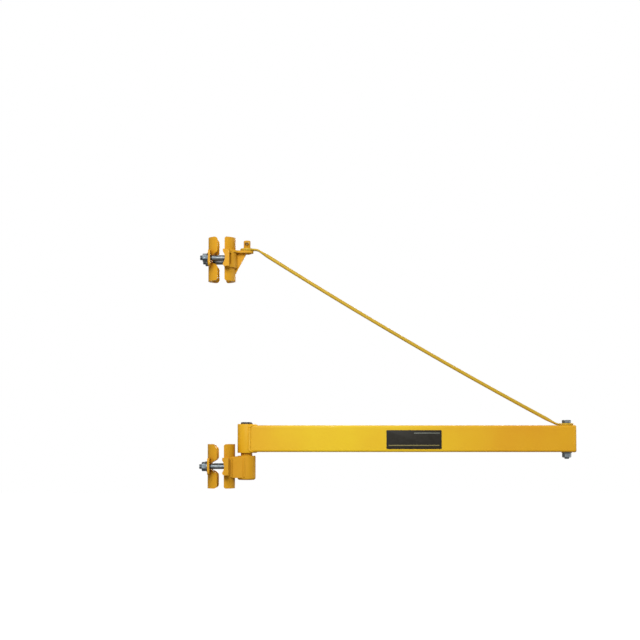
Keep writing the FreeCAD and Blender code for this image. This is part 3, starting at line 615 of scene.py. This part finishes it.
for level in ("lower", "upper"):
    for side in ("near", "far"):
        studName, washerName, nutName = (f"{level}_{kind}_{side}" for kind in ("stud", "washer", "nut"))
        low, high = spanOf(studName)
        axis = (low + high) / 2
        bar = threadedBar(high.x - low.x - stud["plain"], studStations)
        keepNode(alongStud(bar, high.x - stud["plain"], axis), studName)
        low, high = spanOf(washerName)
        keepNode(alongStud(washerMesh(high.x - low.x), high.x, axis), washerName)
        low, high = spanOf(nutName)
        nut = nutMesh(high.x - low.x, nutTurns[f"{level}_{side}"])
        keepNode(alongStud(nut, high.x, axis), nutName)

bolt = {"head": 7.5, "plain": 62.0, "washerFace": 8.9, "lip": 0.5, "topIn": 0.2, "topDip": 0.15}
headFoot, headTop = -bolt["plain"], -bolt["plain"] - bolt["head"]
headStations = [(thread["outer"], headFoot, 0), (bolt["washerFace"], headFoot, 0),
                (bolt["washerFace"], headFoot - bolt["lip"], 0), (None, headFoot - bolt["lip"], 0),
                (None, headTop, 1), (hexagon["face"] - bolt["topIn"], headTop, 0),
                (0, headTop + bolt["topDip"], 0)]


def alongBolt(mesh, z):                                  # grows downwards from z
    return layAlong(mesh, Vector((lowerEye, 0, z)) * mm, 180, "X")


low, high = spanOf("end_bolt")
threadTop = high.z + headTop
keepNode(alongBolt(threadedBar(threadTop - low.z, headStations), threadTop), "end_bolt")
low, high = spanOf("end_washer")
keepNode(alongBolt(washerMesh(high.z - low.z), high.z), "end_washer")
low, high = spanOf("end_nut")
keepNode(alongBolt(nutMesh(high.z - low.z, nutTurns["end"]), high.z), "end_nut")

cotter = {"leg": 0.9, "wire": 0.85, "tall": 1.6, "flat": 0.75, "sides": 14, "loop": 4.2, "loopBack": 1.5,
          "loopTurns": (36, 181, 18), "neck": -8.1, "back": 8.6, "bendOut": 0.7, "bendBack": 0.9,
          "tailOut": 2.6, "tailBack": 3.2}
leg, back, loop = cotter["leg"], cotter["back"], cotter["loop"]
loopY = spanOf("split_pin")[0].y + loop + cotter["loopBack"]
pinPlace = Vector((upperEye, 0, middleOf("split_pin").z))
wireWay = [(leg + cotter["tailOut"], back + cotter["tailBack"]),
           (leg + cotter["bendOut"], back + cotter["bendBack"]),
           (leg, back), (leg, 0.0), (leg, cotter["neck"])]
for turn in range(*cotter["loopTurns"]):                 # degrees round the loop
    wireWay.append((loop * math.sin(math.radians(turn)), loopY + loop * math.cos(math.radians(turn))))
wireWay += [(-x, y) for x, y in wireWay[-2::-1]]         # the second leg mirrors the first


def wireStations(way):
    stations = []
    for count, point in enumerate(way):
        before, after = Vector(way[max(count - 1, 0)]), Vector(way[min(count + 1, len(way) - 1)])
        along = (after - before).normalized()
        stations.append((Vector(point), Vector((-along.y, along.x))))
    return stations


def wirePlace(station, turn):
    point, side = station
    spot = point + side * max(math.cos(turn), -cotter["flat"]) * cotter["wire"]      # half-round wire
    return (Vector((spot.x, spot.y, math.sin(turn) * cotter["tall"])) + pinPlace) * mm


cotterMesh = cleanMesh(sweepRings(bmesh.new(), wireStations(wireWay), wirePlace, cotter["sides"]))
keepNode(cotterMesh, "split_pin", finish=finishes["pin_wire"])
print("fasteners ready")


# weld beads, in mm until they are swept

bead = {"pitch": 2.3, "rings": 5, "ripple": 0.17, "lag": 0.32, "sides": 12, "endSize": 0.45,
        "endGrowth": 0.2}
beadSizes = {                                            # half width and height
    "sleeve": (3.3, 1.9), "plate": (1.9, 1.1), "socket": (2.8, 1.7), "saddle": (3.8, 2.5),
    "lug": (3.2, 2.2), "rim": (3.0, 2.1), "seat": (2.2, 1.6), "band": (2.6, 1.8)}
beadSlots = {"boom": "boom_yellow", "clamps": "bracket_yellow"}
weld = {"inset": 1.0, "sleeveGap": 0.8, "plateInset": 0.4, "gussetTip": 5.0, "pinRadius": 8.0,
        "socketTilt": -0.25, "saddleTilt": 0.45, "lugTilt": 0.45, "lugFace": 0.9,
        "lugTurns": (74, 53), "flangeTurn": 49, "pinTurn": 130, "bandTurns": (8, 74)}      # in degrees


def lineWay(start, end, face):
    return [(Vector(point), Vector(face).normalized()) for point in (start, end)]


def uprightWay(x, y, fromZ, toZ, face):
    return lineWay((x, y, fromZ + weld["inset"]), (x, y, toZ - weld["inset"]), face)


def arcWay(centre, radius, fromTurn, toTurn, lift, steps=24):
    # round a vertical axis; lift tips the bead's face up or down
    way = []
    for count in range(steps + 1):
        turn = math.radians(fromTurn + (toTurn - fromTurn) * count / steps)
        out = Vector((math.cos(turn), math.sin(turn), 0))
        way.append((Vector(centre) + out * radius, (out + Vector((0, 0, lift))).normalized()))
    return way


def boomWay(inset, depthOf, cornerSteps=8, runSteps=20):
    # once round the boom's section; depthOf gives x from y
    corner, middleZ = boom["corner"], (boomLow.z + boomHigh.z) / 2
    spanY, spanZ = boomHigh.y - inset - corner, boomHigh.z - middleZ - inset - corner
    way = []
    for signY, signZ, first in ((-1, 1, 180), (1, 1, 90), (1, -1, 0), (-1, -1, -90)):
        for count in range(cornerSteps + 1):
            turn = math.radians(first - 90 * count / cornerSteps)
            out = Vector((0, math.cos(turn), math.sin(turn)))
            y, z = signY * spanY + corner * out.y, signZ * spanZ + corner * out.z + middleZ
            if way and abs(way[-1][0].y - y) > corner:   # a run over a curved seat needs more points
                firstY = way[-1][0].y
                for part in range(1, runSteps):
                    partY = firstY + (y - firstY) * part / runSteps
                    way.append((Vector((depthOf(partY), partY, z)), out.copy()))
            way.append((Vector((depthOf(y), y, z)), out))
    return way + way[:1]


def evenSpots(way, count):
    lengths = [0.0]
    for (place, _), (following, _) in zip(way, way[1:]):
        lengths.append(lengths[-1] + (following - place).length)
    spots, leg = [], 0
    for number in range(count + 1):
        target = lengths[-1] * number / count
        while leg < len(way) - 2 and lengths[leg + 1] < target:
            leg += 1
        share = (target - lengths[leg]) / (lengths[leg + 1] - lengths[leg])
        spots.append([way[leg][part].lerp(way[leg + 1][part], share) for part in (0, 1)])
    return spots


def addBead(mesh, way, wide, high):
    # each ripple swells and then drops, and its crown lags behind its sides
    length = sum((after[0] - before[0]).length for before, after in zip(way, way[1:]))
    count = max(int(length / bead["pitch"]) * bead["rings"], 2 * bead["rings"])
    spots, stations = evenSpots(way, count), []
    for number, (place, face) in enumerate(spots):
        along = (spots[min(number + 1, count)][0] - spots[max(number - 1, 0)][0]).normalized()
        across = along.cross(face).normalized()
        swell = 1 + bead["ripple"] * (0.5 - (number % bead["rings"]) / bead["rings"])
        swell *= min(1, bead["endSize"] + bead["endGrowth"] * min(number, count - number))
        stations.append((place, along, across, across.cross(along).normalized(), swell))

    def beadPlace(station, turn):
        place, along, across, up, swell = station
        lag = along * max(math.sin(turn), 0) * bead["lag"] * high
        return (place + (across * math.cos(turn) * wide + up * math.sin(turn) * high) * swell - lag) * mm
    sweepRings(mesh, stations, beadPlace, bead["sides"])


def keepWelds(name, body, runs):
    mesh = bmesh.new()
    for kind, way in runs:
        addBead(mesh, way, *beadSizes[kind])
    keepPiece(cleanMesh(mesh), name, body, beadSlots[body])


sleeveRadius = roundSize("pivot_sleeve")[0]
saddleRadius = spanOf("lower_front_saddle")[1].x
plateX = spanOf("boom_end_plate")[0].x


def sleeveSeat(y):
    return pivotX + math.sqrt(sleeveRadius ** 2 - y * y) + weld["sleeveGap"]


keepWelds("sleeveWeld", "boom", [("sleeve", boomWay(0.0, sleeveSeat))])
keepWelds("endPlateWeld", "boom", [("plate", boomWay(weld["plateInset"], lambda y: plateX))])

cheekLow, cheekHigh = spanOf("socket_cheek_near")
cheekReach = -cheekLow.y
socketX = pivotX - math.sqrt(sleeveRadius ** 2 - cheekReach ** 2)
saddleX = math.sqrt(saddleRadius ** 2 - cheekReach ** 2)
cheekRuns = []
for side in (-1, 1):
    for kind, x in (("socket", socketX), ("saddle", saddleX)):
        face = (weld[f"{kind}Tilt"], side, 0)
        cheekRuns.append((kind, uprightWay(x, side * cheekReach, cheekLow.z, cheekHigh.z, face)))
keepWelds("socketWelds", "clamps", cheekRuns)

lugLow, lugHigh = spanOf("lower_lug_near")
lugReach = math.sqrt(saddleRadius ** 2 - lugHigh.x ** 2)
lugRuns = []
for side in (-1, 1):
    face = (weld["lugFace"], side * weld["lugTilt"], 0)
    lugRuns.append(("lug", uprightWay(lugHigh.x, side * lugReach, lugLow.z, lugHigh.z, face)))
    fromTurn, toTurn = (side * turn for turn in weld["lugTurns"])
    for z, lift in ((lugLow.z, -1), (lugHigh.z, 1)):
        lugRuns.append(("rim", arcWay((0, 0, z), saddleRadius, fromTurn, toTurn, lift)))
keepWelds("lowerLugWelds", "clamps", lugRuns)

flangeLow, flangeHigh = spanOf("tie_flange")
gussetLow, gussetHigh = spanOf("tie_gusset")
bandLow, bandHigh = spanOf("upper_lug_near")
flangeTurn, pinTurn = weld["flangeTurn"], weld["pinTurn"]
seatRuns = [("rim", arcWay((0, 0, flangeHigh.z), saddleRadius, -flangeTurn, flangeTurn, 1)),
            ("seat", arcWay((pivotX, 0, flangeLow.z), weld["pinRadius"], -pinTurn, pinTurn, -1))]
for side in (-1, 1):
    y = side * gussetHigh.y
    fromTurn, toTurn = (side * turn for turn in weld["bandTurns"])
    start = (bandHigh.x + 2 * weld["inset"], y, gussetHigh.z)
    end = (gussetHigh.x - weld["gussetTip"], y, gussetHigh.z)
    seatRuns += [("seat", lineWay(start, end, (0, side, -1))),
                 ("seat", uprightWay(bandHigh.x, y, bandLow.z, gussetHigh.z - weld["inset"], (1, side, 0))),
                 ("seat", uprightWay(saddleRadius, y, gussetLow.z, bandLow.z, (1, side, 0))),
                 ("band", arcWay((0, 0, bandLow.z), saddleRadius, fromTurn, toTurn, -1))]
keepWelds("tieSeatWelds", "clamps", seatRuns)
print("weld beads ready")


# blank label plate on the boom's near side, with two plain printed bars

label = {"place": (450.0, 62.0), "size": (128.5, 44.0), "corner": 2.0, "edge": 0.075, "thick": 0.6}
labelBars = {"lowBar": {"offset": (0.0, -13.4), "size": (118.0, 2.2)},
             "highBar": {"offset": (30.0, 15.2), "size": (60.0, 1.9)}}
barLook = {"corner": 0.4, "thick": 0.12}


def flatPlate(middle, size, corner, back, thick):
    # a thin plate with round corners, standing on the face at y = back and facing -Y
    mesh = bmesh.new()
    bmesh.ops.create_grid(mesh, x_segments=1, y_segments=1, size=0.5)
    bmesh.ops.scale(mesh, verts=mesh.verts, vec=(size[0] * mm, size[1] * mm, 1))
    rounded(mesh, mesh.verts[:], corner, segments=6, affect="VERTICES")
    top = vertsOf(bmesh.ops.extrude_face_region(mesh, geom=mesh.faces[:]))
    bmesh.ops.translate(mesh, verts=top, vec=(0, 0, thick * mm))
    rim = [line for line in mesh.edges if all(vert in top for vert in line.verts)]
    rounded(mesh, rim, label["edge"], segments=2)
    bmesh.ops.recalc_face_normals(mesh, faces=mesh.faces)
    return layAlong(mesh, Vector((middle[0], back, middle[1])) * mm, 90, "X")


plate = flatPlate(label["place"], label["size"], label["corner"], boomLow.y, label["thick"])
keepPiece(plate, "labelPlate", "boom", "black_cap", finish=finishes["label"])
labelFace = boomLow.y - label["thick"]
for barName, bar in labelBars.items():
    middle = [whole + part for whole, part in zip(label["place"], bar["offset"])]
    plate = flatPlate(middle, bar["size"], barLook["corner"], labelFace, barLook["thick"])
    keepPiece(plate, barName, "boom", "black_cap", finish=finishes[barName])
print("label plate ready")


# camera, light and floor, in metres

view = {"place": (0.231, -3.0, 0.075), "pitchUp": 2.6, "lens": 71.9, "sensor": 36.0, "shiftUp": 0.0875}
cameraData = bpy.data.cameras.new("camera")
cameraData.lens, cameraData.sensor_width, cameraData.shift_y = view["lens"], view["sensor"], view["shiftUp"]
camera = newObject("camera", cameraData)
camera.location = view["place"]
camera.rotation_euler = (math.radians(90 + view["pitchUp"]), 0, 0)
bpy.context.scene.camera = camera

lamps = {
    "keyLamp": {"place": (-0.1, -2.35, 1.45), "aim": (0.15, 0, 0.12), "size": 1.4, "power": 64},
    "sideLamp": {"place": (-1.9, -0.6, 0.9), "aim": (0.1, 0, 0.2), "size": 0.9, "power": 3},
    "backLamp": {"place": (0.6, 2.4, 1.1), "aim": (0.35, 0, 0.2), "size": 1.4, "power": 36},
    "tipLamp": {"place": (2.6, 0.8, 0.7), "aim": (0.6, 0, 0.1), "size": 1.2, "power": 16},
}
for lampName, lamp in lamps.items():
    lampData = bpy.data.lights.new(lampName, "AREA")
    lampData.shape, lampData.size, lampData.energy = "DISK", lamp["size"], lamp["power"]
    lampObject = newObject(lampName, lampData)
    lampObject.location = lamp["place"]
    aim = Vector(lamp["aim"]) - Vector(lamp["place"])
    lampObject.rotation_euler = aim.to_track_quat("-Z", "Y").to_euler()


def whiteToEye(tree, dim, bright=1.0):
    # bright for the eye and for reflections, and dim as a light for the rest
    path = tree.nodes.new("ShaderNodeLightPath").outputs
    seen = addMath(tree, "MAXIMUM", path["Is Camera Ray"], path["Is Glossy Ray"])
    seen = addMath(tree, "MAXIMUM", seen, path["Is Transmission Ray"])
    unseen = addMath(tree, "SUBTRACT", 1.0, seen)
    glow = addMath(tree, "MULTIPLY", seen, bright)
    return addMath(tree, "ADD", glow, addMath(tree, "MULTIPLY", unseen, dim))


white = (1, 1, 1, 1)
studio = {"low": -0.5, "high": 0.7, "toLow": 0.03, "toHigh": 0.5}     # more light from above than below
world = bpy.data.worlds.new("studio")
bpy.context.scene.world = world
sky = freshTree(world)
upward = addAxis(sky, sky.nodes.new("ShaderNodeTexCoord").outputs["Generated"], "Z")
skyLight = whiteToEye(sky, addRange(sky, upward, **studio))
skyGlow = addNode(sky, "ShaderNodeBackground", None, Color=white, Strength=skyLight)
skyOut = sky.nodes.new("ShaderNodeOutputWorld")
sky.links.new(skyGlow.outputs["Background"], skyOut.inputs["Surface"])


def plainSheet(name, place, half, material, tip=0.0):
    mesh = bmesh.new()
    bmesh.ops.create_grid(mesh, x_segments=1, y_segments=1, size=1.0)
    bmesh.ops.scale(mesh, verts=mesh.verts, vec=(half[0], half[1], 1))
    sheet = newObject(name, meshData(layAlong(mesh, place, tip), name))
    sheet.data.materials.append(material)
    return sheet


def stageMaterial(name, pale, glow):
    material = bpy.data.materials.new(name)
    tree = freshTree(material)
    dull = addNode(tree, "ShaderNodeBsdfDiffuse", None, Color=(pale, pale, pale, 1))
    shine = addNode(tree, "ShaderNodeEmission", None, Color=white, Strength=whiteToEye(tree, 0.0, glow))
    both = tree.nodes.new("ShaderNodeAddShader")         # the floor keeps its shadow under the glow
    out = tree.nodes.new("ShaderNodeOutputMaterial")
    tree.links.new(dull.outputs["BSDF"], both.inputs[0])
    tree.links.new(shine.outputs["Emission"], both.inputs[1])
    tree.links.new(both.outputs["Shader"], out.inputs["Surface"])
    return material


floorLook = {"place": (0, 0, -0.62), "half": (12.0, 12.0), "pale": 0.28, "glow": 0.9}
floorPaint = stageMaterial("floorPaint", floorLook["pale"], floorLook["glow"])
plainSheet("floor", floorLook["place"], floorLook["half"], floorPaint)

cardLook = {"half": (1.2, 0.95), "pale": 0.1, "glow": 0.2}
cardSpots = {"cardAbove": {"place": (0.35, 0, 1.05), "tip": 0},
             "cardBelow": {"place": (0.35, 0, -0.5), "tip": 0},
             "cardLeft": {"place": (-1.0, 1.1, 0.2), "tip": 90}}
cardPaint = stageMaterial("cardPaint", cardLook["pale"], cardLook["glow"])
for cardName, spot in cardSpots.items():                 # dark cards, which only bright metal mirrors
    card = plainSheet(cardName, spot["place"], cardLook["half"], cardPaint, spot["tip"])
    card.visible_camera = card.visible_diffuse = card.visible_shadow = card.visible_transmission = False
bpy.context.scene.view_settings.view_transform = "Standard"
print("studio ready")
